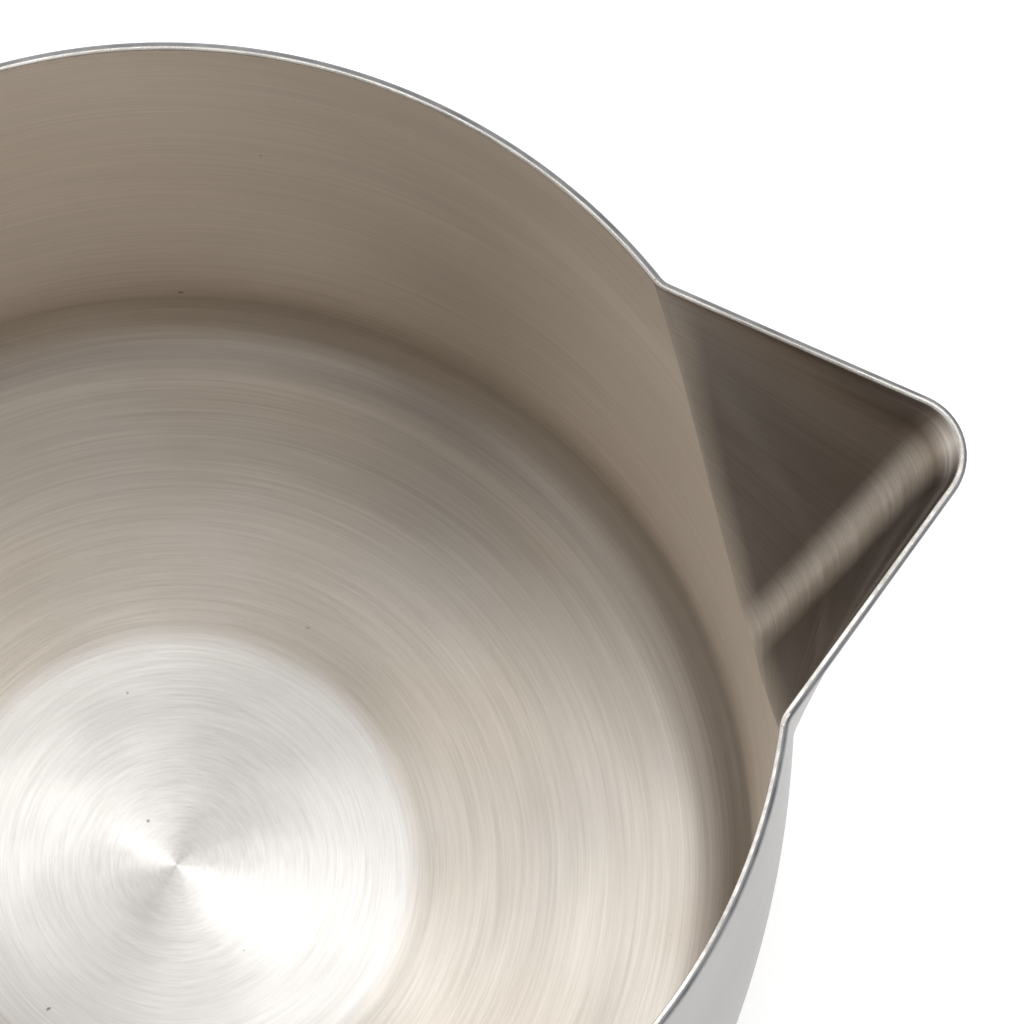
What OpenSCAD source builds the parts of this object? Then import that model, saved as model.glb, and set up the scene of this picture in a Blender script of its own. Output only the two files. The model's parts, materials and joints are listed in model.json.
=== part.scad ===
// Candle melting pot: a deep drawn steel pot with a deep welded pouring spout and a riveted
// strap handle that carries a two-piece grip.
// Millimetres. The origin is the centre of the flat base, +Z is up and the spout points along +X.

/* [Pot] */
// Outside diameter at the rim
pot_d = 120; // [100:1:150]
// Height from the flat base to the rim
pot_h = 92; // [78:1:115]
// Thickness of the drawn sheet
wall_t = 0.9; // [0.7:0.1:1.5]
// How far the wall swells out at mid height
wall_swell = 1.4; // [0.6:0.1:2.5]
// How much smaller the radius is at the base than at the rim
base_taper = 1.2; // [0:0.1:3]
// Outside radius of the corner between wall and base
corner_r = 7; // [5:0.5:12]

/* [Spout] */
// How far the straight keel line stands out from the wall at the rim
spout_reach = 17.4; // [12:0.2:24]
// How far the pouring lip flares out past the keel line
lip_flare = 2; // [0:0.2:3]
// Angle round the rim from the middle of the spout to each side
spout_half_angle = 22; // [19:0.5:26]
// Height of the spout, from the rim down to where its keel meets the wall
spout_drop = 58; // [46:1:66]
// Outside radius of the fold along the keel and round the tip
keel_r = 6.4; // [5.4:0.2:8]
// Thickness of the spout's sheet
spout_t = 0.9; // [0.7:0.1:1.2]

/* [Handle strap] */
// How far the strap stands out from the wall
handle_reach = 42; // [36:1:55]
// Distance from the rim down to the top of the strap
handle_below_rim = 6; // [4:1:10]
// Height of the strap loop
handle_span = 68; // [60:1:72]
// Width of the strap
strap_w = 18; // [16:1:22]
// Thickness of the strap
strap_t = 1.6; // [1.2:0.1:2.5]
// Outside radius of the two far bends of the strap
strap_bend_r = 10; // [8:0.5:13]
// Height of each foot that lies on the wall
foot_h = 22; // [20:1:25]

/* [Rivets] */
// Diameter of a rivet's shank
rivet_d = 4; // [3:0.1:5]
// Diameter of a rivet's head
rivet_head_d = 8; // [7:0.1:9]
// Height of a rivet's head
rivet_head_h = 1.8; // [1.2:0.1:2.2]
// Distance between the two rivets of a foot
rivet_pitch = 11; // [9.5:0.5:11.5]
// Play round a rivet's shank in its hole
rivet_play = 0.1; // [0.05:0.05:0.2]

/* [Grip] */
// Width of the grip, across the strap
grip_w = 25; // [24:0.5:32]
// Depth of the grip, through the strap
grip_d = 17; // [16:0.5:22]
// Radius of the grip's long edges
grip_edge_r = 6.5; // [5:0.5:7.5]
// Play between the strap and the slot in the grip
slot_play = 0.15; // [0.1:0.05:0.3]

/* [Grip screws] */
// Diameter of a screw
screw_d = 4; // [3:0.1:4.5]
// Diameter of a screw's head
screw_head_d = 7.6; // [7:0.1:8]
// Height of a screw's head
screw_head_h = 2.4; // [1.8:0.1:3]
// Width of a nut across its flats
nut_flats = 7; // [6.5:0.1:7.5]
// Thickness of a nut
nut_t = 3.2; // [2.4:0.1:3.4]
// Distance between the two screws
screw_pitch = 28; // [22:1:28]
// Play round a screw, its head and its nut
screw_play = 0.2; // [0.1:0.05:0.3]
// How deep the heads and nuts lie below the face of the grip
fastener_sink = 0.4; // [0.2:0.1:0.8]

/* [Hidden] */

$fn = 96;
pot_r = pot_d / 2;
past = 1; // how far a cutter runs past the face that it opens

// The wall follows a very flat arc from the base to the rim, in a few straight bands.
wall_bands = 8;
chord = norm([base_taper, pot_h]);
arc_r = (chord * chord / 4 + wall_swell * wall_swell) / (2 * wall_swell);
arc_mid = [pot_r - base_taper / 2, pot_h / 2];
arc_out = [pot_h, -base_taper] / chord;
arc_c = arc_mid - (arc_r - wall_swell) * arc_out;

// The corner arc touches the base and the wall arc.
corner_x = arc_c.x + sqrt(pow(arc_r - corner_r, 2) - pow(corner_r - arc_c.y, 2));
corner_dir = atan2(corner_r - arc_c.y, corner_x - arc_c.x);

// Spout: rings of points from the rim down, as shares of spout_drop.
outer_end = 0.97; // last ring of the outer face, where it has sunk to the wall
inner_end = 0.9; // last ring of the inner face
tail_step = 2 * spout_t; // how far below and inside the last outer ring the tail ends
tail_width = 0.6; // width of the tail's end, as a share of the last ring's
rings = 14;
fold_steps = 10;
root = 6; // how far the spout's cutters run into the pot
outer_lap = 0.4; // how far inside the wall's face the outer sides turn to the pot's axis
inner_gap = 0.3; // how far outside the wall's face the inner sides turn to the pot's axis
width_power = 0.42; // how the spout keeps its width on the way down
flare_share = 0.16; // share of the drop over which the lip flares

// Handle
strap_x = -(pot_r + handle_reach);
strap_top = pot_h - handle_below_rim;
strap_bottom = strap_top - handle_span;
strap_mid_z = (strap_top + strap_bottom) / 2;
upper_foot_z = strap_top - foot_h / 2;
lower_foot_z = strap_bottom + foot_h / 2;
clear_foot = foot_h - strap_t; // the part of a foot that the strap's leg leaves clear
upper_rivets_z = strap_top - strap_t - clear_foot / 2;
lower_rivets_z = strap_bottom + strap_t + clear_foot / 2;
head_bury = 0.6; // the part of a rivet's head that is cut to the curve of its seat

// Grip
split_x = strap_x + strap_t / 2;
grip_h = handle_span - 2 * strap_bend_r;
head_depth = screw_head_h + fastener_sink;
nut_depth = nut_t + fastener_sink;
grip_out_x = split_x - grip_d / 2;
grip_in_x = split_x + grip_d / 2;

// Radius of the pot's wall at height z, on the face that lies inset inside the outer one.
function wall_r(z, inset = 0) = arc_c.x + sqrt(pow(arc_r - inset, 2) - pow(z - arc_c.y, 2));

// Height, keel and half width of the spout at a share t of its drop.
function ring_z(t) = pot_h - t * spout_drop;
function flare(t) = t < flare_share ? lip_flare * pow(1 - t / flare_share, 2) : 0;
function keel_x(t) = wall_r(ring_z(t)) + spout_reach * (1 - t) + flare(t);
function half_angle(t) = spout_half_angle * pow(1 - t, width_power);

// One level section of the spout: the folded keel, two straight sides that run to the wall or
// beyond it, and two points inside the pot. An inset of the sheet's thickness gives the inner face.
function section(t, inset, beyond) =
    let (
        r_wall = wall_r(ring_z(t)),
        r_turn = r_wall + beyond,
        a = half_angle(t),
        c = [keel_x(t) - keel_r, 0],
        side = r_wall * [cos(a), sin(a)] - c,
        turn = atan2(side.y, side.x) - acos(keel_r / norm(side)),
        out = [cos(turn), sin(turn)],
        along = [-sin(turn), cos(turn)],
        start = c + (keel_r - inset) * out,
        back = start * along,
        reach = -back - sqrt(max(0, back * back - start * start + r_turn * r_turn)),
        seat = start + reach * along,
        inside = seat * (r_wall - root) / r_turn
    )
    concat(
        [[inside.x, -inside.y], [seat.x, -seat.y]],
        [for (i = [0:fold_steps])
            let (b = turn * (2 * i / fold_steps - 1))
            c + (keel_r - inset) * [cos(b), sin(b)]],
        [seat, inside]
    );

function raised(points, z) = [for (p = points) [p.x, p.y, z]];

// A solid through level rings that all have the same number of points, lowest ring first.
module stack(levels) {
    n = len(levels[0]);
    last = len(levels) - 1;
    polyhedron(
        points = [for (level = levels) each level],
        faces = concat(
            [[for (i = [0:n - 1]) i]],
            [for (k = [0:last - 1], i = [0:n - 1])
                [k * n + i, (k + 1) * n + i, k * n + (i + 1) % n]],
            [for (k = [0:last - 1], i = [0:n - 1])
                [(k + 1) * n + i, (k + 1) * n + (i + 1) % n, k * n + (i + 1) % n]],
            [[for (i = [n - 1:-1:0]) last * n + i]]
        )
    );
}

// Outer form of the spout. Its foot is drawn into the wall so that it closes there.
module spout_outer_form() {
    tail = section(outer_end, 0, -outer_lap);
    stack(concat(
        [[for (p = tail) [p.x - tail_step, p.y * tail_width, ring_z(outer_end) - tail_step]]],
        [for (k = [rings:-1:0])
            let (t = outer_end * k / rings)
            raised(section(t, 0, -outer_lap), ring_z(t))]
    ));
}

// Hollow of the spout, which also cuts the opening in the wall.
module spout_hollow() {
    stack(concat(
        [for (k = [rings:-1:0])
            let (t = inner_end * k / rings)
            raised(section(t, spout_t, inner_gap), ring_z(t))],
        [raised(section(0, spout_t, inner_gap), pot_h + past)]
    ));
}

// Half section of the pot, moved in by inset (out if it is negative).
module pot_profile(inset, top) {
    tangent_z = corner_r + (corner_r - inset) * sin(corner_dir);
    polygon(concat(
        [[0, top], [0, tangent_z]],
        [for (k = [0:wall_bands])
            let (z = tangent_z + (pot_h - tangent_z) * k / wall_bands)
            [wall_r(z, inset), z]],
        top > pot_h ? [[wall_r(pot_h, inset), top]] : []
    ));
    translate([corner_x, corner_r]) circle(r = corner_r - inset);
    translate([0, inset]) square([corner_x, tangent_z - inset + past]);
}

module pot_form(inset, top = pot_h) {
    rotate_extrude($fn = 180) pot_profile(inset, top);
}

// Lays a shape drawn along +Z on its side, so that it points along -X.
module point_back() {
    rotate([0, -90, 0]) children();
}

// Bore along X at a height z, from x_far to x_near.
module bore_x(d, z, x_far, x_near) {
    translate([x_near, 0, z]) point_back() cylinder(h = x_near - x_far, d = d, $fn = 48);
}

module foot_rivet_places() {
    for (z = [upper_rivets_z, lower_rivets_z], side = [1, -1])
        translate([0, 0, z + side * rivet_pitch / 2]) children();
}

module rivet_bores() {
    foot_rivet_places() bore_x(rivet_d + 2 * rivet_play, 0, -pot_r - root, -pot_r + root);
}

module pot_body() {
    color("#c9c5bd") difference() {
        pot_form(0);
        pot_form(wall_t, pot_h + past);
        spout_hollow();
        rivet_bores();
    }
}

module pour_spout() {
    color("#b5b0a8") difference() {
        spout_outer_form();
        spout_hollow();
        pot_form(0, pot_h + past);
    }
}

// Side view of the loop, drawn with x towards the pot: two legs and two far bends.
module loop_profile(grow) {
    r = strap_bend_r + grow;
    x = strap_x - grow;
    bottom = strap_bottom - grow;
    span = handle_span + 2 * grow;
    translate([x + r, bottom]) square([-x - r - pot_r / 2, span]);
    translate([x, bottom + r]) square([r + past, span - 2 * r]);
    translate([x + r, bottom + r]) circle(r = r);
    translate([x + r, bottom + span - r]) circle(r = r);
}

module strap_loop() {
    rotate([90, 0, 0]) linear_extrude(height = strap_w, center = true) difference() {
        loop_profile(0);
        loop_profile(-strap_t);
    }
}

module strap_foot(z) {
    intersection() {
        pot_form(-strap_t, pot_h);
        translate([-pot_d, -strap_w / 2, z - foot_h / 2]) cube([pot_d, strap_w, foot_h]);
    }
}

module handle_strap() {
    color("#bdb9b2") difference() {
        union() {
            strap_loop();
            strap_foot(upper_foot_z);
            strap_foot(lower_foot_z);
        }
        pot_form(0, pot_h + past);
        rivet_bores();
        screw_places() bore_x(screw_d + 2 * screw_play, 0, strap_x - past, strap_x + strap_t + past);
    }
}

// Low round head, its seat at z = 0 and a buried part below.
module rivet_head() {
    cap_r = (pow(rivet_head_d / 2, 2) + pow(rivet_head_h, 2)) / (2 * rivet_head_h);
    intersection() {
        translate([0, 0, rivet_head_h - cap_r]) sphere(r = cap_r);
        translate([0, 0, -head_bury]) cylinder(h = rivet_head_h + head_bury, d = rivet_head_d, $fn = 48);
    }
}

module rivet(z) {
    r = wall_r(z);
    color("#d4d1cb") {
        bore_x(rivet_d, z, -r - strap_t - head_bury, -r + wall_t + head_bury);
        difference() {
            translate([-r - strap_t, 0, z]) point_back() rivet_head();
            pot_form(-strap_t);
        }
        intersection() {
            translate([-r + wall_t, 0, z]) rotate([0, 90, 0]) rivet_head();
            pot_form(wall_t);
        }
    }
}

module screw_places() {
    for (side = [1, -1]) translate([0, 0, strap_mid_z + side * screw_pitch / 2]) children();
}

// Whole grip with its slot for the strap, before it is split into two shells.
module grip_blank() {
    inner_w = grip_w - 2 * grip_edge_r;
    inner_d = grip_d - 2 * grip_edge_r;
    difference() {
        translate([split_x, 0, strap_mid_z - grip_h / 2]) linear_extrude(height = grip_h) {
            square([grip_d, inner_w], center = true);
            square([inner_d, grip_w], center = true);
            for (x = [-1, 1], y = [-1, 1])
                translate([x * inner_d / 2, y * inner_w / 2]) circle(r = grip_edge_r);
        }
        translate([split_x, 0, strap_mid_z])
            cube([strap_t + 2 * slot_play, strap_w + 2 * slot_play, grip_h + 2 * past], center = true);
        screw_places() bore_x(screw_d + 2 * screw_play, 0, grip_out_x - past, grip_in_x + past);
    }
}

module grip_half(side) {
    intersection() {
        grip_blank();
        translate([split_x + side * grip_d, 0, strap_mid_z])
            cube([2 * grip_d, 2 * grip_w, 2 * grip_h], center = true);
    }
}

module grip_outer() {
    color("#26262a") difference() {
        grip_half(-1);
        screw_places()
            bore_x(screw_head_d + 2 * screw_play, 0, grip_out_x - past, grip_out_x + head_depth);
    }
}

module grip_inner() {
    color("#2b2b30") difference() {
        grip_half(1);
        screw_places() translate([grip_in_x + past, 0, 0]) point_back()
            cylinder(h = nut_depth + past, d = (nut_flats + 2 * screw_play) / cos(30), $fn = 6);
    }
}

module grip_screw(z) {
    color("#cfccc6") {
        bore_x(screw_head_d, z, grip_out_x + fastener_sink, grip_out_x + head_depth);
        bore_x(screw_d, z, grip_out_x + head_depth - past, grip_in_x - fastener_sink);
    }
}

module grip_nut(z) {
    color("#cfccc6") difference() {
        translate([grip_in_x - fastener_sink, 0, z]) point_back()
            cylinder(h = nut_t, d = nut_flats / cos(30), $fn = 6);
        bore_x(screw_d, z, grip_in_x - nut_depth - past, grip_in_x + past);
    }
}

pot_body();
pour_spout();
handle_strap();
rivet(upper_rivets_z + rivet_pitch / 2);  // strap_rivet_top
rivet(upper_rivets_z - rivet_pitch / 2);  // strap_rivet_upper
rivet(lower_rivets_z + rivet_pitch / 2);  // strap_rivet_lower
rivet(lower_rivets_z - rivet_pitch / 2);  // strap_rivet_bottom
grip_outer();
grip_inner();
grip_screw(strap_mid_z + screw_pitch / 2);  // grip_screw_upper
grip_screw(strap_mid_z - screw_pitch / 2);  // grip_screw_lower
grip_nut(strap_mid_z + screw_pitch / 2);  // grip_nut_upper
grip_nut(strap_mid_z - screw_pitch / 2);  // grip_nut_lower
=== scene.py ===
import json
import math

import bmesh
import bpy
from mathutils import Matrix, Vector

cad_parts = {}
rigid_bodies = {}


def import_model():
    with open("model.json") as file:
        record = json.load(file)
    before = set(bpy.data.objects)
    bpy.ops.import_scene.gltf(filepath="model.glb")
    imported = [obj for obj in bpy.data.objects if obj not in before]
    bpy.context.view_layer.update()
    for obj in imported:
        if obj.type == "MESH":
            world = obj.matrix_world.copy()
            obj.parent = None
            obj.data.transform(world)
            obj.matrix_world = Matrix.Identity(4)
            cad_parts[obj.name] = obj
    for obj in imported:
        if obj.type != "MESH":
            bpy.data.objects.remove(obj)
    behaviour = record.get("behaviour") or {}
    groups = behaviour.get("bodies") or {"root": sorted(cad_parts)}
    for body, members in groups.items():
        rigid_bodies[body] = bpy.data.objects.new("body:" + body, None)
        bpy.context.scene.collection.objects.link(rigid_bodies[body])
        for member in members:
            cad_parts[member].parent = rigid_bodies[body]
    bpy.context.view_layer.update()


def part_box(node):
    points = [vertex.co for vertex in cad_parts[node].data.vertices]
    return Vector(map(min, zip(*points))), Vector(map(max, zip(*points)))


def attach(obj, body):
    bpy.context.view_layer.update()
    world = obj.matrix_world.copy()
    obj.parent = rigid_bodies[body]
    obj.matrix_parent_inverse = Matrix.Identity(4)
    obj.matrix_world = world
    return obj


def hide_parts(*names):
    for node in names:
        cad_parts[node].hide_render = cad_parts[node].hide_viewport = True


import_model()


# ---------------------------------------------------------------------------
# Pot body
# One vessel drawn from thin stainless sheet, so wall and floor are one piece with a small
# corner between them. The inside is brushed in rings on a lathe, the outside is a fine satin,
# and the rim is a plain cut edge. A deep opening is cut in the wall for the spout.
# ---------------------------------------------------------------------------
mm = 0.001
sheet = 0.9 * mm
rim_radius = 60.0 * mm
pot_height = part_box("pot_body")[1].z
wall_swell = 1.4 * mm
base_taper = 1.2 * mm
corner_radius = 7.0 * mm
columns = 240

chord = math.hypot(base_taper, pot_height)
arc_radius = (chord * chord / 4 + wall_swell * wall_swell) / (2 * wall_swell)
arc_out = Vector((pot_height, -base_taper)) / chord
chord_middle = Vector((rim_radius - base_taper / 2, pot_height / 2))
arc_centre = chord_middle - (arc_radius - wall_swell) * arc_out
corner_x = arc_centre.x + math.sqrt(
    (arc_radius - corner_radius) ** 2 - (corner_radius - arc_centre.y) ** 2
)
corner_turn = math.atan2(corner_radius - arc_centre.y, corner_x - arc_centre.x)

spout_reach = 17.4 * mm
lip_flare = 2.0 * mm
flare_share = 0.16
spout_half_angle = math.radians(22)
spout_drop = 58.0 * mm
width_power = 0.42
keel_radius = 6.4 * mm
shoulder_radius = 2.4 * mm
spout_foot = 0.965
foot_drop = 2.2 * mm
spout_rings = 48
seam_lap = 0.0008  # radians by which the wall's cut edges reach past the seam
lowest_ring, ring_clear = 8.5 * mm, 9.0 * mm


def wall_radius(z, inset=0.0):
    return arc_centre.x + math.sqrt((arc_radius - inset) ** 2 - (z - arc_centre.y) ** 2)


def spout_height(t):
    return pot_height - t * spout_drop


def keel_out(t):
    flare = lip_flare * (1 - t / flare_share) ** 2 if t < flare_share else 0.0
    return wall_radius(spout_height(t)) + spout_reach * (1 - t) + flare


def spout_lines(t):
    """Centre and half angle of the keel's fold, and centre of the shoulder between side and wall."""
    a = spout_half_angle * (1 - t) ** width_power
    r = wall_radius(spout_height(t))
    fold = Vector((keel_out(t) - keel_radius, 0.0))
    side = r * Vector((math.cos(a), math.sin(a))) - fold
    turn = math.atan2(side.y, side.x) - math.acos(keel_radius / side.length)
    out = Vector((math.cos(turn), math.sin(turn)))
    along = Vector((-math.sin(turn), math.cos(turn)))
    start = fold + (keel_radius + shoulder_radius) * out
    back = start.dot(along)
    run = -back - math.sqrt(max(0.0, back * back - start.dot(start) + (r + shoulder_radius) ** 2))
    return fold, turn, start + run * along


def seam_angle(t):
    """Half angle, seen from the pot's axis, of the seam between the wall and the spout."""
    shoulder = spout_lines(t)[2]
    return math.atan2(shoulder.y, shoulder.x)


spout_levels = [spout_foot * (k / spout_rings) ** 0.9 for k in range(spout_rings + 1)]
foot_height = spout_height(spout_foot)
foot_angle = seam_angle(spout_foot)


def opening_angle(z):
    """Half angle of the wall's opening at a height; nothing below the opening."""
    if z >= foot_height:
        return seam_angle((pot_height - z) / spout_drop) - seam_lap
    below = (foot_height - z) / foot_drop
    return foot_angle * math.sqrt(1 - below * below) if below < 1 else 0.0


def finish_mesh(bm, name, sharp=35):
    """Turns a bmesh into a named object at the origin, smooth but for its sharp edges."""
    for face in bm.faces:
        face.smooth = True
    for edge in bm.edges:
        edge.smooth = edge.calc_face_angle(0.0) < math.radians(sharp)
    mesh = bpy.data.meshes.new(name)
    bm.to_mesh(mesh)
    bm.free()
    piece = bpy.data.objects.new(name, mesh)
    bpy.context.scene.collection.objects.link(piece)
    return piece


def chain(bm, points):
    """Vertices through the points, with an edge from each to the next."""
    verts = [bm.verts.new(p) for p in points]
    edges = [bm.edges.new(pair) for pair in zip(verts, verts[1:])]
    return verts, edges


def corner_arc(inset, steps):
    bend = corner_radius - inset
    span = corner_turn + math.pi / 2
    return [
        (corner_x + bend * math.cos(a), corner_radius + bend * math.sin(a))
        for a in (-math.pi / 2 + span * k / steps for k in range(steps + 1))
    ]


def wall_heights():
    """Heights of the wall's rings, the same inside and outside, matched to the spout's own rings."""
    low = foot_height - foot_drop
    below = [lowest_ring + (low - ring_clear) * k / 8 for k in range(8)]
    foot = [low + foot_drop * (k / 7) ** 2 for k in range(7)]
    return below + foot + [spout_height(t) for t in reversed(spout_levels)]


def pot_outline():
    floor = [(corner_x * k / 24, sheet) for k in range(24)]
    inner = [(wall_radius(z, sheet), z) for z in wall_heights()]
    outer = [(wall_radius(z), z) for z in reversed(wall_heights())]
    under = [(corner_x * k / 10, 0.0) for k in range(9, -1, -1)]
    return (
        floor + corner_arc(sheet, 8) + inner + outer + list(reversed(corner_arc(0.0, 8))) + under
    )


body = bmesh.new()
verts, edges = chain(body, [(r, 0.0, z) for r, z in pot_outline()])
nearly_full = 2 * math.pi * (1 - 1e-4)
bmesh.ops.spin(
    body, geom=verts + edges, cent=(0, 0, 0), axis=(0, 0, 1), angle=nearly_full, steps=columns
)
for v in body.verts:
    r = math.hypot(v.co.x, v.co.y)
    share = (math.atan2(v.co.y, v.co.x) % (2 * math.pi)) / nearly_full
    if share > 1.00005:
        share = 0.0
    gap = opening_angle(v.co.z) if v.co.z > sheet and r > corner_x else 0.0
    a = gap + share * (2 * math.pi - 2 * gap)
    v.co = Vector((r * math.cos(a), r * math.sin(a), v.co.z))
bmesh.ops.remove_doubles(body, verts=body.verts, dist=0.002 * mm)
mid_wall = sheet / 2
open_edges = [e for e in body.edges if e.is_boundary]
cut_inside, cut_outside = [], []
for e in open_edges:
    centre = (e.verts[0].co + e.verts[1].co) / 2
    if abs(e.verts[0].co.z - e.verts[1].co.z) < 0.001 * mm and centre.z > pot_height - 0.01 * mm:
        continue
    far = math.hypot(centre.x, centre.y) > wall_radius(centre.z, mid_wall)
    (cut_outside if far else cut_inside).append(e)
bmesh.ops.bridge_loops(body, edges=cut_inside + cut_outside)
bmesh.ops.recalc_face_normals(body, faces=body.faces)


def round_edges(bm, edges, width, segments):
    bmesh.ops.bevel(
        bm,
        geom=edges,
        offset=width,
        segments=segments,
        profile=0.5,
        affect="EDGES",
        material=-1,
        clamp_overlap=True,
    )


def rim_edges(bm, outer):
    """The long edges of the level rim, on its outer or its inner side, without those at the cuts."""
    found = []
    for e in bm.edges:
        if not all(v.co.z > pot_height - 0.001 * mm for v in e.verts):
            continue
        radii = [math.hypot(v.co.x, v.co.y) for v in e.verts]
        level = abs(radii[0] - radii[1]) < 0.3 * mm
        far = sum(radii) / 2 > wall_radius(pot_height, mid_wall)
        if level and far == outer and e.calc_face_angle(0.0) > math.radians(50):
            found.append(e)
    return found


rim_inner_edge = 0.12 * mm
rim_outer_edge = 0.5 * mm
round_edges(body, rim_edges(body, True), rim_outer_edge, 4)
round_edges(body, rim_edges(body, False), rim_inner_edge, 2)


def add_node(tree, kind, x, y, **values):
    """A shader node of a kind at a place in its tree, with plain values for its named fields."""
    node = tree.nodes.new(kind)
    node.location = (x, y)
    for field, value in values.items():
        setattr(node, field, value)
    return node


def math_node(tree, operation, a, b=None, x=0, y=0):
    node = add_node(tree, "ShaderNodeMath", x, y, operation=operation)
    for socket, value in zip(node.inputs, (a, b)):
        if value is None:
            continue
        if isinstance(value, (int, float)):
            socket.default_value = value
        else:
            tree.links.new(value, socket)
    return node.outputs[0]


def new_group(name, inputs, outputs):
    group = bpy.data.node_groups.new(name, "ShaderNodeTree")
    for label, value in inputs:
        socket = group.interface.new_socket(
            name=label, in_out="INPUT", socket_type="NodeSocketFloat"
        )
        socket.default_value = value
    for label in outputs:
        group.interface.new_socket(
            name=label, in_out="OUTPUT", socket_type="NodeSocketFloat"
        )
    start = add_node(group, "NodeGroupInput", -1400, 0)
    end = add_node(group, "NodeGroupOutput", 900, 0)
    return group, start.outputs, end.inputs


def noise_at(tree, vector, w, scale, detail, roughness, x, y):
    dimensions = "4D" if w is not None else "3D"
    node = add_node(tree, "ShaderNodeTexNoise", x, y, noise_dimensions=dimensions)
    node.inputs["Detail"].default_value = detail
    node.inputs["Roughness"].default_value = roughness
    node.inputs["Scale"].default_value = scale
    tree.links.new(vector, node.inputs["Vector"])
    if w is not None:
        tree.links.new(w, node.inputs["W"])
    return node.outputs["Fac"]


def make_ring_brushing():
    """Scratches that run in rings round the pot's axis: fine ones, coarse ones and soft bands."""
    group, ins, outs = new_group(
        "ring_brushing",
        [("Fine", 2600.0), ("Coarse", 700.0), ("Drift", 2.0)],
        ["Fine scratches", "Coarse scratches", "Bands"],
    )
    where = add_node(group, "ShaderNodeTexCoord", -1400, -300)
    parts = add_node(group, "ShaderNodeSeparateXYZ", -1200, -300)
    group.links.new(where.outputs["Object"], parts.inputs[0])
    x, y, z = parts.outputs
    xx = math_node(group, "MULTIPLY", x, x, -1000, -100)
    yy = math_node(group, "MULTIPLY", y, y, -1000, -250)
    radius = math_node(group, "SQRT", math_node(group, "ADD", xx, yy, -850, -180), None, -700, -180)
    safe = math_node(group, "MAXIMUM", radius, 1e-5, -550, -180)
    cos_a = math_node(group, "DIVIDE", x, safe, -400, -100)
    sin_a = math_node(group, "DIVIDE", y, safe, -400, -250)
    for k, (name, drift_scale, detail, rough) in enumerate(
        [("Fine", 1.0, 3.0, 0.6), ("Coarse", 0.6, 2.0, 0.5), (None, 0.3, 2.0, 0.5)]
    ):
        size = ins[name] if name else None
        top = 300 - 350 * k
        r_scaled = math_node(group, "MULTIPLY", radius, size if name else 90.0, -200, top)
        z_scaled = math_node(group, "MULTIPLY", z, size if name else 60.0, -200, top - 120)
        slow = math_node(group, "MULTIPLY", ins["Drift"], drift_scale, -200, top - 240)
        c_scaled = math_node(group, "MULTIPLY", cos_a, slow, -50, top)
        s_scaled = math_node(group, "MULTIPLY", sin_a, slow, -50, top - 120)
        join = add_node(group, "ShaderNodeCombineXYZ", 120, top)
        for socket, value in zip(join.inputs, (r_scaled, z_scaled, c_scaled)):
            group.links.new(value, socket)
        value = noise_at(group, join.outputs[0], s_scaled, 1.0, detail, rough, 300, top)
        group.links.new(value, outs[k])
    return group


def make_handling_marks():
    """Soft patches and small specks on steel: 0 to 1, the patches mostly near the middle."""
    group, ins, outs = new_group("handling_marks", [("Patch size", 45.0)], ["Patches", "Specks"])
    where = add_node(group, "ShaderNodeTexCoord", -1200, 0)
    patches = add_node(group, "ShaderNodeTexNoise", -600, 200)
    patches.inputs["Detail"].default_value = 3.0
    group.links.new(where.outputs["Object"], patches.inputs["Vector"])
    group.links.new(ins["Patch size"], patches.inputs["Scale"])
    group.links.new(patches.outputs["Fac"], outs["Patches"])
    specks = add_node(group, "ShaderNodeTexNoise", -600, -200)
    specks.inputs["Detail"].default_value = 1.0
    specks.inputs["Scale"].default_value = 520.0
    group.links.new(where.outputs["Object"], specks.inputs["Vector"])
    ramp = add_node(group, "ShaderNodeMapRange", -300, -200)
    ramp.inputs["From Min"].default_value = 0.815
    ramp.inputs["From Max"].default_value = 0.85
    group.links.new(specks.outputs["Fac"], ramp.inputs["Value"])
    group.links.new(ramp.outputs["Result"], outs["Specks"])
    return group


ring_brushing = make_ring_brushing()
handling_marks = make_handling_marks()


def place_group(tree, group, x, y, **values):
    node = add_node(tree, "ShaderNodeGroup", x, y)
    node.node_tree = group
    for name, value in values.items():
        node.inputs[name.replace("_", " ")].default_value = value
    return node


def remap(tree, value, low, high, x, y, start=0.0, end=1.0):
    node = add_node(tree, "ShaderNodeMapRange", x, y)
    node.inputs["From Min"].default_value = start
    node.inputs["From Max"].default_value = end
    node.inputs["To Min"].default_value = low
    node.inputs["To Max"].default_value = high
    tree.links.new(value, node.inputs["Value"])
    return node.outputs["Result"]


def blend_colour(tree, share, first, second, x, y, how="MIX"):
    node = add_node(tree, "ShaderNodeMix", x, y, data_type="RGBA", blend_type=how)
    if isinstance(share, (int, float)):
        node.inputs["Factor"].default_value = share
    else:
        tree.links.new(share, node.inputs["Factor"])
    for socket, value in ((node.inputs[6], first), (node.inputs[7], second)):
        if isinstance(value, tuple):
            socket.default_value = (*value, 1.0)
        else:
            tree.links.new(value, socket)
    return node.outputs[2]


def new_metal(name, anisotropy, turn, ring_axis=True):
    """A metal whose highlight is drawn out across its brushing."""
    material = bpy.data.materials.new(name)
    material.use_nodes = True
    tree = material.node_tree
    shader = tree.nodes["Principled BSDF"]
    shader.inputs["Metallic"].default_value = 1.0
    shader.inputs["Anisotropic"].default_value = anisotropy
    shader.inputs["Anisotropic Rotation"].default_value = turn
    if ring_axis:
        tangent = add_node(tree, "ShaderNodeTangent", -300, -500, direction_type="RADIAL", axis="Z")
        tree.links.new(tangent.outputs[0], shader.inputs["Tangent"])
    return material, tree, shader


def relief(tree, shader, height, strength, distance):
    bump = add_node(tree, "ShaderNodeBump", -300, -300)
    bump.inputs["Strength"].default_value = strength
    bump.inputs["Distance"].default_value = distance
    tree.links.new(height, bump.inputs["Height"])
    tree.links.new(bump.outputs["Normal"], shader.inputs["Normal"])


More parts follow.
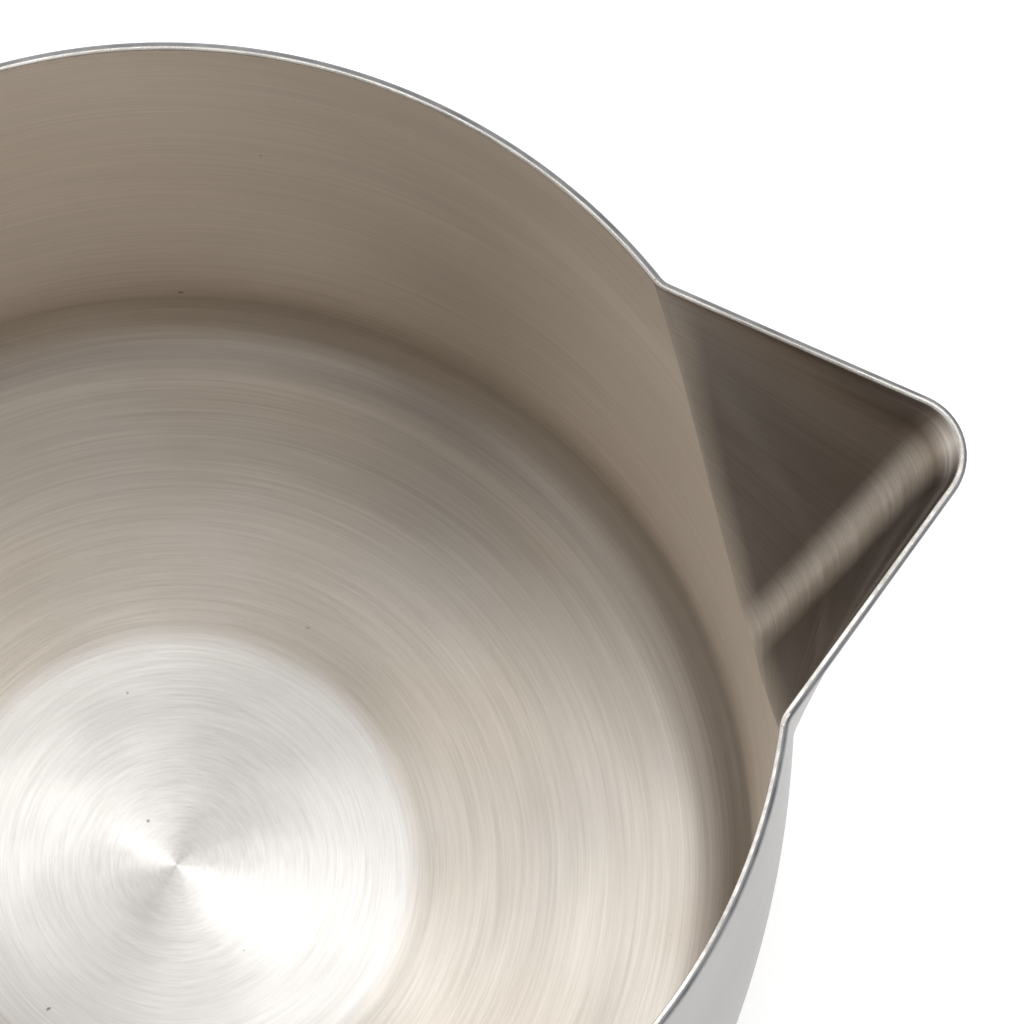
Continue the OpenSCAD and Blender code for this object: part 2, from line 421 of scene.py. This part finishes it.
def inside_steel():
    material, tree, shader = new_metal("ring_brushed_inside", 0.78, 0.25)
    brush = place_group(tree, ring_brushing, -1300, 200, Fine=5200.0, Coarse=2100.0, Drift=3.2)
    marks = place_group(tree, handling_marks, -1300, -200, Patch_size=32.0)
    where = add_node(tree, "ShaderNodeTexCoord", -1500, -500)
    parts = add_node(tree, "ShaderNodeSeparateXYZ", -1300, -500)
    tree.links.new(where.outputs["Object"], parts.inputs[0])
    flat = add_node(tree, "ShaderNodeCombineXYZ", -1150, -600)
    tree.links.new(parts.outputs[0], flat.inputs[0])
    tree.links.new(parts.outputs[1], flat.inputs[1])
    length = add_node(tree, "ShaderNodeVectorMath", -1000, -600, operation="LENGTH")
    tree.links.new(flat.outputs[0], length.inputs[0])
    radius = length.outputs["Value"]
    on_floor = remap(tree, parts.outputs[2], 1.0, 0.0, -1000, -450, 3.0 * mm, 8.0 * mm)
    # the middle of the floor is brighter than the ring round it, with a soft edge between them
    middle = remap(tree, radius, 1.0, 0.0, -850, -600, 22.9 * mm, 25.4 * mm)
    middle = math_node(tree, "MULTIPLY", middle, on_floor, -700, -600)
    wall_tone = blend_colour(
        tree, remap(tree, marks.outputs["Patches"], 0.0, 1.0, -1000, 0, 0.35, 0.65),
        (0.79, 0.705, 0.61), (0.84, 0.76, 0.67), -800, 100
    )
    floor_tone = blend_colour(
        tree, remap(tree, marks.outputs["Patches"], 0.0, 1.0, -1000, 0, 0.4, 0.6),
        (0.535, 0.486, 0.428), (0.565, 0.53, 0.484), -800, -60
    )
    tone = blend_colour(tree, on_floor, wall_tone, floor_tone, -600, 100)
    tone = blend_colour(tree, middle, tone, (0.75, 0.735, 0.715), -500, 60)
    # the corner is painted darker than the floor and the wall that it joins: painted shade, added to
    # the darkening that the corner's curve gives by itself
    reached = remap(tree, radius, 0.0, 1.0, -850, -750, 51.6 * mm, 53.8 * mm)
    low_down = remap(tree, parts.outputs[2], 1.0, 0.0, -850, -900, 1.1 * mm, 4.2 * mm)
    corner = math_node(tree, "MULTIPLY", reached, low_down, -700, -800)
    tone = blend_colour(tree, corner, tone, (0.345, 0.302, 0.262), -450, 0)
    dark = remap(tree, brush.outputs["Coarse scratches"], 0.91, 1.045, -900, 350, 0.3, 0.7)
    fine = remap(tree, brush.outputs["Fine scratches"], 0.85, 1.08, -900, 500, 0.3, 0.7)
    both = math_node(tree, "MULTIPLY", dark, fine, -700, 420)
    grey = add_node(tree, "ShaderNodeCombineColor", -550, 420)
    for socket in grey.inputs:
        tree.links.new(both, socket)
    tone = blend_colour(tree, 0.8, tone, grey.outputs[0], -380, 200, "MULTIPLY")
    tone = blend_colour(tree, marks.outputs["Specks"], tone, (0.2, 0.17, 0.14), -200, 200)
    tree.links.new(tone, shader.inputs["Base Color"])
    rough = remap(tree, brush.outputs["Coarse scratches"], 0.31, 0.37, -600, -100, 0.3, 0.7)
    extra = remap(tree, brush.outputs["Bands"], -0.04, 0.05, -600, -220, 0.3, 0.7)
    tree.links.new(math_node(tree, "ADD", rough, extra, -400, -150), shader.inputs["Roughness"])
    height = math_node(
        tree, "ADD", brush.outputs["Fine scratches"], brush.outputs["Coarse scratches"], -600, -350
    )
    relief(tree, shader, height, 0.14, 0.03 * mm)
    return material


def outside_steel():
    material, tree, shader = new_metal("satin_outside", 0.3, 0.25)
    brush = place_group(tree, ring_brushing, -1100, 200, Fine=2400.0, Coarse=1100.0, Drift=5.0)
    marks = place_group(tree, handling_marks, -1100, -200, Patch_size=26.0)
    share = remap(tree, marks.outputs["Patches"], 0.0, 1.0, -800, 0, 0.35, 0.65)
    tone = blend_colour(tree, share, (0.33, 0.325, 0.323), (0.38, 0.373, 0.37), -600, 100)
    grey = add_node(tree, "ShaderNodeCombineColor", -600, 350)
    lines = remap(tree, brush.outputs["Fine scratches"], 0.86, 1.12, -800, 350, 0.3, 0.7)
    for socket in grey.inputs:
        tree.links.new(lines, socket)
    tone = blend_colour(tree, 0.85, tone, grey.outputs[0], -400, 200, "MULTIPLY")
    tree.links.new(tone, shader.inputs["Base Color"])
    rough = remap(tree, brush.outputs["Fine scratches"], 0.3, 0.44, -600, -100, 0.3, 0.7)
    tree.links.new(rough, shader.inputs["Roughness"])
    relief(tree, shader, brush.outputs["Coarse scratches"], 0.22, 0.03 * mm)
    return material


def cut_edge_steel():
    material, tree, shader = new_metal("bright_cut_edge", 0.2, 0.0, ring_axis=False)
    where = add_node(tree, "ShaderNodeTexCoord", -1100, 0)
    nicks = noise_at(tree, where.outputs["Object"], None, 900.0, 3.0, 0.6, -900, 100)
    slow = noise_at(tree, where.outputs["Object"], None, 120.0, 2.0, 0.5, -900, -150)
    tone = blend_colour(
        tree, remap(tree, slow, 0.0, 1.0, -700, 0, 0.35, 0.65),
        (0.42, 0.40, 0.375), (0.62, 0.60, 0.57), -500, 100
    )
    tree.links.new(tone, shader.inputs["Base Color"])
    tree.links.new(remap(tree, nicks, 0.16, 0.36, -500, -100, 0.3, 0.7), shader.inputs["Roughness"])
    relief(tree, shader, nicks, 0.25, 0.05 * mm)
    return material


def painted_shade_edge_steel():
    """The outer corner of the cut edge, duller than the cut itself and painted darker: painted
    shade, a dark line along the outer corner.
    """
    material, tree, shader = new_metal("painted_shade_outer_corner", 0.0, 0.0, ring_axis=False)
    where = add_node(tree, "ShaderNodeTexCoord", -900, 0)
    slow = noise_at(tree, where.outputs["Object"], None, 300.0, 2.0, 0.5, -700, 0)
    tone = blend_colour(
        tree, remap(tree, slow, 0.0, 1.0, -500, 0, 0.35, 0.65),
        (0.23, 0.235, 0.245), (0.35, 0.35, 0.36), -300, 100
    )
    tree.links.new(tone, shader.inputs["Base Color"])
    tree.links.new(remap(tree, slow, 0.35, 0.5, -300, -100, 0.3, 0.7), shader.inputs["Roughness"])
    return material


inside_finish = inside_steel()
outside_finish = outside_steel()
edge_finish = cut_edge_steel()
painted_edge_shade = painted_shade_edge_steel()

for face in body.faces:
    centre = face.calc_center_median()
    r = math.hypot(centre.x, centre.y)
    if centre.z > pot_height - rim_outer_edge - 0.01 * mm:
        # faces of the rim's rounding that lean outwards take the outer corner's painted shade
        leans_out = face.normal.x * centre.x + face.normal.y * centre.y > 0.15 * r
        face.material_index = 3 if leans_out else 2
    elif centre.z < sheet / 2 or r > wall_radius(max(centre.z, 0.0), mid_wall):
        face.material_index = 1
    elif centre.z < corner_radius:
        from_corner = math.hypot(r - corner_x, centre.z - corner_radius)
        face.material_index = 1 if r > corner_x and from_corner > corner_radius - mid_wall else 0
pot = finish_mesh(body, "drawn_pot", sharp=60)
for finish in (inside_finish, outside_finish, edge_finish, painted_edge_shade):
    pot.data.materials.append(finish)
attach(pot, "root")
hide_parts("pot_body")


# ---------------------------------------------------------------------------
# Pouring spout
# A sheet folded round a keel, with two straight sides that turn in a small shoulder and are
# welded flush into the wall's opening. The rounded fold runs from the lip down to the wall.
# It is brushed along its length, and its upper edge is cut level with the rim.
# ---------------------------------------------------------------------------
fold_steps = 16
side_steps = 7
shoulder_steps = 6


def spout_section(t, inset):
    """Points of a level section: shoulder, side and half the fold, then the same in reverse."""
    fold, turn, shoulder = spout_lines(t)
    bend = shoulder_radius + inset
    from_wall = math.atan2(-shoulder.y, -shoulder.x)
    to_side = math.atan2(-math.sin(turn), -math.cos(turn))
    bend_arc = [
        shoulder + bend * Vector((math.cos(a), math.sin(a)))
        for a in (
            from_wall + (to_side - from_wall) * k / shoulder_steps for k in range(shoulder_steps + 1)
        )
    ]
    start = fold + (keel_radius - inset) * Vector((math.cos(turn), math.sin(turn)))
    side = [bend_arc[-1].lerp(start, k / side_steps) for k in range(1, side_steps)]
    fold_arc = [
        fold + (keel_radius - inset) * Vector((math.cos(a), math.sin(a)))
        for a in (turn * (1 - 2 * k / fold_steps) for k in range(fold_steps + 1))
    ]
    half = bend_arc + side
    other = [Vector((p.x, -p.y)) for p in reversed(half)]
    return [Vector((p.x, p.y, spout_height(t))) for p in half + fold_arc + other]


def foot_section(inset):
    """The spout's lowest edge, which lies in the wall and closes the opening in a low curve."""
    points = []
    for p in spout_section(spout_foot, inset):
        s = max(-1.0, min(1.0, math.atan2(p.y, p.x) / foot_angle))
        z = foot_height - foot_drop * math.sqrt(1 - s * s)
        r = wall_radius(z, inset)
        points.append(Vector((r * math.cos(s * foot_angle), r * math.sin(s * foot_angle), z)))
    return points


def drawn_on(bm, verts, edges, points):
    """Draws a row of edges on to its next row of points, and gives the new row."""
    made = bmesh.ops.extrude_edge_only(bm, edges=edges)["geom"]
    fresh = {v.co.copy().freeze(): v for v in made if isinstance(v, bmesh.types.BMVert)}
    verts = [fresh[v.co.copy().freeze()] for v in verts]
    for v, p in zip(verts, points):
        v.co = p
    return verts, [bm.edges.get(pair) for pair in zip(verts, verts[1:])]


shell = bmesh.new()
for inset in (0.0, sheet):
    verts, edges = chain(shell, spout_section(0.0, inset))
    for t in spout_levels[1:]:
        verts, edges = drawn_on(shell, verts, edges, spout_section(t, inset))
    drawn_on(shell, verts, edges, foot_section(inset))
bmesh.ops.bridge_loops(shell, edges=[e for e in shell.edges if e.is_boundary])
bmesh.ops.remove_doubles(shell, verts=shell.verts, dist=0.001 * mm)
bmesh.ops.recalc_face_normals(shell, faces=shell.faces)


def lip_edges(bm, outer):
    """The long edges of the level lip, on its outer or its inner side."""
    found = []
    for e in bm.edges:
        if not all(v.co.z > pot_height - 0.001 * mm for v in e.verts):
            continue
        sides = [f for f in e.link_faces if abs(f.normal.z) < 0.8]
        if len(sides) != 1 or len(e.link_faces) != 2:
            continue
        centre = (e.verts[0].co + e.verts[1].co) / 2
        run = (e.verts[1].co - e.verts[0].co).normalized()
        along_seam = abs(run.x * centre.x + run.y * centre.y) / math.hypot(centre.x, centre.y)
        if abs(math.atan2(centre.y, centre.x)) > seam_angle(0.0) - 1e-5 and along_seam > 0.7:
            continue
        away = Vector((centre.x - 0.9 * rim_radius, centre.y))
        if (sides[0].normal.x * away.x + sides[0].normal.y * away.y > 0) == outer:
            found.append(e)
    return found


round_edges(shell, lip_edges(shell, True), rim_outer_edge, 4)
round_edges(shell, lip_edges(shell, False), rim_inner_edge, 2)


def spout_steel():
    """Steel brushed round the fold, so its scratches lie level on the two sides. Its inside is
    painted dark and its fold and lip painted bright: painted shade and painted highlight, added to
    the reflections that fall there.
    """
    material, tree, shader = new_metal("length_brushed_spout", 0.6, 0.25)
    marks = place_group(tree, handling_marks, -1300, -300, Patch_size=60.0)
    where = add_node(tree, "ShaderNodeTexCoord", -1500, 100)
    squeeze = add_node(tree, "ShaderNodeMapping", -1300, 100)
    squeeze.inputs["Scale"].default_value = (60.0, 60.0, 2600.0)
    squeeze.inputs["Rotation"].default_value = (0.0, math.radians(-9), 0.0)
    tree.links.new(where.outputs["Object"], squeeze.inputs["Vector"])
    fine = noise_at(tree, squeeze.outputs[0], None, 1.0, 3.0, 0.6, -1050, 250)
    coarse = noise_at(tree, squeeze.outputs[0], None, 0.3, 2.0, 0.5, -1050, 0)
    # the inside's dark tone is painted shade; near the wall it fades into a light tone like the
    # wall's
    share = remap(tree, marks.outputs["Patches"], 0.0, 1.0, -800, -200, 0.35, 0.65)
    tone = blend_colour(tree, share, (0.18, 0.155, 0.138), (0.215, 0.187, 0.168), -600, 0)
    level = add_node(tree, "ShaderNodeMapping", -1300, -500)
    level.inputs["Scale"].default_value = (1.0, 1.0, 0.0)
    tree.links.new(where.outputs["Object"], level.inputs["Vector"])
    length = add_node(tree, "ShaderNodeVectorMath", -1100, -500, operation="LENGTH")
    tree.links.new(level.outputs[0], length.inputs[0])
    near_wall = remap(tree, length.outputs["Value"], 1.0, 0.0, -900, -500, 59.3 * mm, 61.2 * mm)
    tone = blend_colour(tree, near_wall, tone, (0.70, 0.63, 0.55), -400, -50)
    # the flared lip and the fold are painted brighter than the sides between them: painted
    # highlight, added to the light that they reflect
    parts = add_node(tree, "ShaderNodeSeparateXYZ", -1100, -700)
    tree.links.new(where.outputs["Object"], parts.inputs[0])
    painted_lip_highlight = remap(tree, parts.outputs[2], 0.0, 0.8, -700, -850, 76 * mm, 92 * mm)
    tone = blend_colour(tree, painted_lip_highlight, tone, (0.36, 0.32, 0.285), -400, -200)
    off_keel = math_node(tree, "ABSOLUTE", parts.outputs[1], None, -900, -700)
    painted_keel_highlight = remap(tree, off_keel, 1.0, 0.0, -700, -700, 0.2 * mm, 3.1 * mm)
    tone = blend_colour(tree, painted_keel_highlight, tone, (0.97, 0.92, 0.86), -400, -120)
    lines = math_node(
        tree, "MULTIPLY",
        remap(tree, fine, 0.84, 1.12, -800, 250, 0.3, 0.7),
        remap(tree, coarse, 0.88, 1.1, -800, 50, 0.3, 0.7), -600, 200
    )
    grey = add_node(tree, "ShaderNodeCombineColor", -450, 200)
    for socket in grey.inputs:
        tree.links.new(lines, socket)
    tone = blend_colour(tree, 0.85, tone, grey.outputs[0], -250, 100, "MULTIPLY")
    tree.links.new(tone, shader.inputs["Base Color"])
    tree.links.new(remap(tree, coarse, 0.28, 0.42, -500, -150, 0.3, 0.7), shader.inputs["Roughness"])
    relief(tree, shader, math_node(tree, "ADD", fine, coarse, -600, -300), 0.25, 0.03 * mm)
    return material


spout_finish = spout_steel()
for face in shell.faces:
    centre = face.calc_center_median()
    if centre.z > pot_height - rim_outer_edge - 0.01 * mm:
        away = Vector((centre.x - 0.96 * rim_radius, centre.y)).normalized()
        # faces of the lip's rounding that lean outwards take the outer corner's painted shade
        leans_out = face.normal.x * away.x + face.normal.y * away.y > 0.15
        face.material_index = 3 if leans_out else 2
    else:
        away = Vector((centre.x - 0.9 * rim_radius, centre.y))
        face.material_index = 1 if face.normal.x * away.x + face.normal.y * away.y > 0 else 0
spout = finish_mesh(shell, "folded_spout", sharp=60)
for finish in (spout_finish, outside_finish, edge_finish, painted_edge_shade):
    spout.data.materials.append(finish)
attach(spout, "root")
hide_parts("pour_spout")


# ---------------------------------------------------------------------------
# Handle strap
# A flat bar of stainless steel bent to a loop, with a foot at each end pressed to the curve of
# the wall and riveted to it. It is brushed along its length and its edges are broken.
# ---------------------------------------------------------------------------
def softened_copy(node, name, width, segments=2, sharp=28):
    """The CAD piece with its edges broken: merged, its flat faces joined, then bevelled."""
    source = next(o for o in bpy.data.objects if o.name == node)
    bm = bmesh.new()
    bm.from_mesh(source.data)
    bmesh.ops.remove_doubles(bm, verts=bm.verts, dist=0.004 * mm)
    bmesh.ops.dissolve_limit(
        bm, angle_limit=math.radians(0.6), verts=bm.verts, edges=bm.edges,
        use_dissolve_boundaries=False,
    )
    corner = math.radians(sharp)
    edges = [e for e in bm.edges if e.is_manifold and e.calc_face_angle(0.0) > corner]
    round_edges(bm, edges, width, segments)
    return finish_mesh(bm, name, sharp=40)


def strap_steel():
    material, tree, shader = new_metal("length_brushed_strap", 0.5, 0.0, ring_axis=False)
    marks = place_group(tree, handling_marks, -1300, -300, Patch_size=50.0)
    where = add_node(tree, "ShaderNodeTexCoord", -1500, 100)
    squeeze = add_node(tree, "ShaderNodeMapping", -1300, 100)
    squeeze.inputs["Scale"].default_value = (60.0, 2400.0, 60.0)
    tree.links.new(where.outputs["Object"], squeeze.inputs["Vector"])
    fine = noise_at(tree, squeeze.outputs[0], None, 1.0, 3.0, 0.6, -1050, 250)
    share = remap(tree, marks.outputs["Patches"], 0.0, 1.0, -800, -200, 0.35, 0.65)
    tone = blend_colour(tree, share, (0.46, 0.448, 0.43), (0.53, 0.517, 0.50), -600, 0)
    grey = add_node(tree, "ShaderNodeCombineColor", -450, 200)
    lines = remap(tree, fine, 0.84, 1.1, -800, 250, 0.3, 0.7)
    for socket in grey.inputs:
        tree.links.new(lines, socket)
    tone = blend_colour(tree, 0.8, tone, grey.outputs[0], -250, 100, "MULTIPLY")
    tree.links.new(tone, shader.inputs["Base Color"])
    tree.links.new(remap(tree, fine, 0.24, 0.4, -500, -150, 0.3, 0.7), shader.inputs["Roughness"])
    relief(tree, shader, fine, 0.2, 0.03 * mm)
    return material


strap = softened_copy("handle_strap", "bent_strap", 0.25 * mm)
strap.data.materials.append(strap_steel())
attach(strap, "root")
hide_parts("handle_strap")


# ---------------------------------------------------------------------------
# Strap rivets
# Four soft steel rivets, two in each foot, with a low round head inside the pot and another
# outside on the strap. Each head has a small flat on top from the setting tool.
# ---------------------------------------------------------------------------
rivet_names = ("strap_rivet_top", "strap_rivet_upper", "strap_rivet_lower", "strap_rivet_bottom")
head_flat = 1.1 * mm
strap_thickness = 1.6 * mm
head_rings = 9


def turned_steel(name, low, high):
    """Bright steel with soft patches and small dents."""
    material, tree, shader = new_metal(name, 0.0, 0.0, ring_axis=False)
    marks = place_group(tree, handling_marks, -900, -100, Patch_size=300.0)
    share = remap(tree, marks.outputs["Patches"], 0.0, 1.0, -650, 100, 0.35, 0.65)
    tree.links.new(
        blend_colour(tree, share, (0.58, 0.565, 0.54), (0.72, 0.705, 0.68), -450, 150),
        shader.inputs["Base Color"],
    )
    tree.links.new(
        remap(tree, marks.outputs["Patches"], low, high, -450, -100, 0.3, 0.7),
        shader.inputs["Roughness"],
    )
    relief(tree, shader, marks.outputs["Patches"], 0.3, 0.06 * mm)
    return material


rivet_finish = turned_steel("set_rivet_steel", 0.24, 0.4)
for name in rivet_names:
    low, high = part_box(name)
    centre_z = (low.z + high.z) / 2
    head_r = (high.z - low.z) / 2
    seat_out = -wall_radius(centre_z) - strap_thickness
    seat_in = -wall_radius(centre_z, sheet)
    rivet = bmesh.new()
    for tip, seat, way in ((low.x, seat_out, -1), (high.x, seat_in, 1)):
        rise = abs(tip - seat)
        ball = (head_r ** 2 + rise ** 2) / (2 * rise)
        outline = [(seat - way * 0.5 * mm, head_r - 0.1 * mm), (seat, head_r - 0.03 * mm)]
        swing = math.asin(min(1.0, head_r / ball))
        for k in range(1, head_rings):
            a = swing * (1 - k / head_rings)
            r = (ball - 0.02 * mm) * math.sin(a)
            x = tip - way * (ball - ball * math.cos(a)) - way * 0.03 * mm
            if r > head_flat:
                outline.append((x, r))
        outline.append((tip - way * 0.08 * mm, head_flat))
        outline.append((tip - way * 0.1 * mm, 0.0))
        verts, edges = chain(rivet, [(x, 0.0, centre_z + r) for x, r in outline])
        bmesh.ops.spin(
            rivet, geom=verts + edges, cent=(0, 0, centre_z), axis=(1, 0, 0),
            angle=2 * math.pi, steps=40, use_merge=True,
        )
    bmesh.ops.remove_doubles(rivet, verts=rivet.verts, dist=0.003 * mm)
    bmesh.ops.holes_fill(rivet, edges=[e for e in rivet.edges if e.is_boundary], sides=0)
    bmesh.ops.recalc_face_normals(rivet, faces=rivet.faces)
    piece = finish_mesh(rivet, name.replace("strap_rivet", "set_rivet"), sharp=50)
    piece.data.materials.append(rivet_finish)
    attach(piece, "root")
    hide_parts(name)


# ---------------------------------------------------------------------------
# Grip
# Two moulded halves of black heat-resistant plastic that clamp the strap between them. Their
# faces have a fine moulded texture and their edges are rounded.
# ---------------------------------------------------------------------------
def grip_plastic():
    material = bpy.data.materials.new("moulded_grip_black")
    material.use_nodes = True
    tree = material.node_tree
    shader = tree.nodes["Principled BSDF"]
    where = add_node(tree, "ShaderNodeTexCoord", -1100, 0)
    grain = noise_at(tree, where.outputs["Object"], None, 1500.0, 2.0, 0.5, -900, 100)
    marks = place_group(tree, handling_marks, -900, -200, Patch_size=70.0)
    share = remap(tree, marks.outputs["Patches"], 0.0, 1.0, -650, -100, 0.35, 0.65)
    tree.links.new(
        blend_colour(tree, share, (0.018, 0.018, 0.02), (0.032, 0.031, 0.031), -450, 100),
        shader.inputs["Base Color"],
    )
    tree.links.new(
        remap(tree, marks.outputs["Patches"], 0.42, 0.58, -450, -100, 0.3, 0.7),
        shader.inputs["Roughness"],
    )
    relief(tree, shader, grain, 0.5, 0.12 * mm)
    return material


grip_finish = grip_plastic()
for node, name in (("grip_outer", "outer_grip_half"), ("grip_inner", "inner_grip_half")):
    half = softened_copy(node, name, 0.8 * mm, segments=3)
    half.data.materials.append(grip_finish)
    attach(half, "root")
    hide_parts(node)


# ---------------------------------------------------------------------------
# Grip screws and nuts
# Two machine screws go in from the outside through both halves and the strap, each into a
# hexagon nut in a pocket of the inner half. The heads have a hexagon socket.
# ---------------------------------------------------------------------------
socket_radius = 1.7 * mm
socket_depth = 1.3 * mm
shank_r = 2.0 * mm
head_height = 2.4 * mm
screw_finish = turned_steel("turned_screw_steel", 0.18, 0.34)
for level in ("upper", "lower"):
    node = f"grip_screw_{level}"
    low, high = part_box(node)
    centre_z = (low.z + high.z) / 2
    head_r = (high.z - low.z) / 2
    head_end = low.x + head_height
    screw = bmesh.new()
    outline = [
        (low.x + socket_depth, 0.0),
        (low.x + socket_depth, socket_radius),
        (low.x + 0.15 * mm, socket_radius + 0.02 * mm),
        (low.x, socket_radius + 0.25 * mm),
        (low.x + 0.02 * mm, head_r * 0.8),
        (low.x + 0.25 * mm, head_r - 0.12 * mm),
        (low.x + 0.6 * mm, head_r),
        (head_end, head_r),
        (head_end, shank_r),
        (high.x - 0.4 * mm, shank_r),
        (high.x, shank_r - 0.4 * mm),
        (high.x, 0.0),
    ]
    verts, edges = chain(screw, [(x, 0.0, centre_z + r) for x, r in outline])
    bmesh.ops.spin(
        screw, geom=verts + edges, cent=(0, 0, centre_z), axis=(1, 0, 0),
        angle=2 * math.pi, steps=48, use_merge=True,
    )
    # the socket's six flats: its round wall is pulled in to a hexagon
    for v in screw.verts:
        reach = Vector((0.0, v.co.y, v.co.z - centre_z))
        in_head = low.x + 0.1 * mm < v.co.x < head_end - 0.5 * mm
        if in_head and 0 < reach.length < socket_radius * 1.05:
            a = math.atan2(reach.z, reach.y) % (math.pi / 3) - math.pi / 6
            reach *= math.cos(math.pi / 6) / math.cos(a)
            v.co = Vector((v.co.x, reach.y, centre_z + reach.z))
    bmesh.ops.remove_doubles(screw, verts=screw.verts, dist=0.002 * mm)
    bmesh.ops.recalc_face_normals(screw, faces=screw.faces)
    piece = finish_mesh(screw, f"socket_screw_{level}", sharp=35)
    piece.data.materials.append(screw_finish)
    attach(piece, "root")
    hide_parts(node)
    nut = softened_copy(f"grip_nut_{level}", f"hexagon_nut_{level}", 0.2 * mm)
    nut.data.materials.append(screw_finish)
    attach(nut, "root")
    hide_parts(f"grip_nut_{level}")


# ---------------------------------------------------------------------------
# Floor, light and camera
# A pale table that is lit from below, a long soft light above, and soft light all round that is
# weaker from the front and has a dark gap overhead. The camera stands high over the pot's front
# and looks steeply down into it, at the spout and the floor.
# ---------------------------------------------------------------------------
def pale_floor():
    material = bpy.data.materials.new("pale_floor")
    material.use_nodes = True
    tree = material.node_tree
    shader = tree.nodes["Principled BSDF"]
    where = add_node(tree, "ShaderNodeTexCoord", -900, 0)
    grain = noise_at(tree, where.outputs["Object"], None, 40.0, 2.0, 0.5, -700, 0)
    tree.links.new(
        blend_colour(tree, grain, (0.93, 0.93, 0.93), (0.95, 0.95, 0.95), -400, 0),
        shader.inputs["Base Color"],
    )
    tree.links.new(remap(tree, grain, 0.85, 0.95, -400, -200), shader.inputs["Roughness"])
    shader.inputs["Emission Color"].default_value = (1.0, 1.0, 1.0, 1.0)
    shader.inputs["Emission Strength"].default_value = 0.5
    return material


floor_mesh = bmesh.new()
bmesh.ops.create_grid(floor_mesh, x_segments=4, y_segments=4, size=6.0)
floor = finish_mesh(floor_mesh, "studio_floor")
floor.data.materials.append(pale_floor())

scene = bpy.context.scene
scene.view_settings.view_transform = "Standard"
world = bpy.data.worlds.new("soft_surround")
scene.world = world
world.use_nodes = True
sky = world.node_tree
back = sky.nodes["Background"]
back.inputs["Color"].default_value = (1.0, 0.99, 0.98, 1.0)
where = add_node(sky, "ShaderNodeTexCoord", -900, 0)
facing = add_node(sky, "ShaderNodeVectorMath", -700, 0, operation="DOT_PRODUCT")
sky.links.new(where.outputs["Generated"], facing.inputs[0])
facing.inputs[1].default_value = (-0.45, 0.66, 0.6)
shade = add_node(sky, "ShaderNodeMapRange", -500, 0, interpolation_type="SMOOTHSTEP")
for label, value in (("From Min", -0.4), ("From Max", 0.95), ("To Min", 0.33), ("To Max", 0.98)):
    shade.inputs[label].default_value = value
sky.links.new(facing.outputs["Value"], shade.inputs["Value"])
# a dark gap between two soft boxes crosses overhead, at right angles to the long strip
beside = add_node(sky, "ShaderNodeVectorMath", -700, -300, operation="DOT_PRODUCT")
sky.links.new(where.outputs["Generated"], beside.inputs[0])
beside.inputs[1].default_value = (-0.676, 0.725, -0.13)
off_gap = add_node(sky, "ShaderNodeMath", -500, -300, operation="ABSOLUTE")
sky.links.new(beside.outputs["Value"], off_gap.inputs[0])
gap = add_node(sky, "ShaderNodeMapRange", -300, -300, interpolation_type="SMOOTHSTEP")
for label, value in (("From Min", 0.02), ("From Max", 0.19), ("To Min", 0.42), ("To Max", 1.2)):
    gap.inputs[label].default_value = value
sky.links.new(off_gap.outputs[0], gap.inputs["Value"])
strength = add_node(sky, "ShaderNodeMath", -100, -100, operation="MULTIPLY")
sky.links.new(shade.outputs["Result"], strength.inputs[0])
sky.links.new(gap.outputs["Result"], strength.inputs[1])
sky.links.new(strength.outputs[0], back.inputs["Strength"])


def soft_light(name, place, aim, size, power, colour, bearing):
    """A rectangular soft light that faces its aim, with its long side along a bearing."""
    lamp = bpy.data.lights.new(name, "AREA")
    lamp.shape = "RECTANGLE"
    lamp.size, lamp.size_y = size
    lamp.energy = power
    lamp.color = colour
    light = bpy.data.objects.new(name, lamp)
    away = (Vector(place) - Vector(aim)).normalized()
    length = Vector((math.cos(bearing), math.sin(bearing), 0.0))
    length = (length - length.dot(away) * away).normalized()
    axes = Matrix((length, away.cross(length), away)).transposed()
    light.matrix_world = Matrix.Translation(place) @ axes.to_4x4()
    scene.collection.objects.link(light)


# a long box hangs over the pot, its length across the line from the front left to the back right
strip_bearing = math.radians(133.0)
soft_light(
    "overhead_strip", (0.28, 0.23, 1.55), (0.0, 0.0, 0.0), (2.2, 0.2), 3.6,
    (1.0, 0.995, 0.98), strip_bearing
)

# Camera: heights and angles from the pot's own axes, the spout lying along +X.
spout_bearing = math.radians(17.0)
steepness = math.radians(75.26)
tilt = math.radians(1.92)
aim_across, aim_along = 0.547 * rim_radius, 0.239 * rim_radius
distance = 20 * rim_radius
spin_back = Matrix.Rotation(-spout_bearing, 3, "Z")
forward = Vector((0.0, math.cos(steepness), -math.sin(steepness)))
level_right = Vector((1.0, 0.0, 0.0))
level_up = Vector((0.0, math.sin(steepness), math.cos(steepness)))
right = math.cos(tilt) * level_right + math.sin(tilt) * level_up
upward = -math.sin(tilt) * level_right + math.cos(tilt) * level_up
target = Vector((aim_across, aim_along, pot_height))
stand = target - forward * distance

lens = bpy.data.cameras.new("camera")
lens.sensor_width = 36.0
lens.lens = 36.0 * 12608 / 1024
lens.clip_end = 50.0
camera = bpy.data.objects.new("camera", lens)
facing = Matrix((right, upward, -forward)).transposed()
camera.matrix_world = Matrix.Translation(spin_back @ stand) @ (spin_back @ facing).to_4x4()
scene.collection.objects.link(camera)
scene.camera = camera
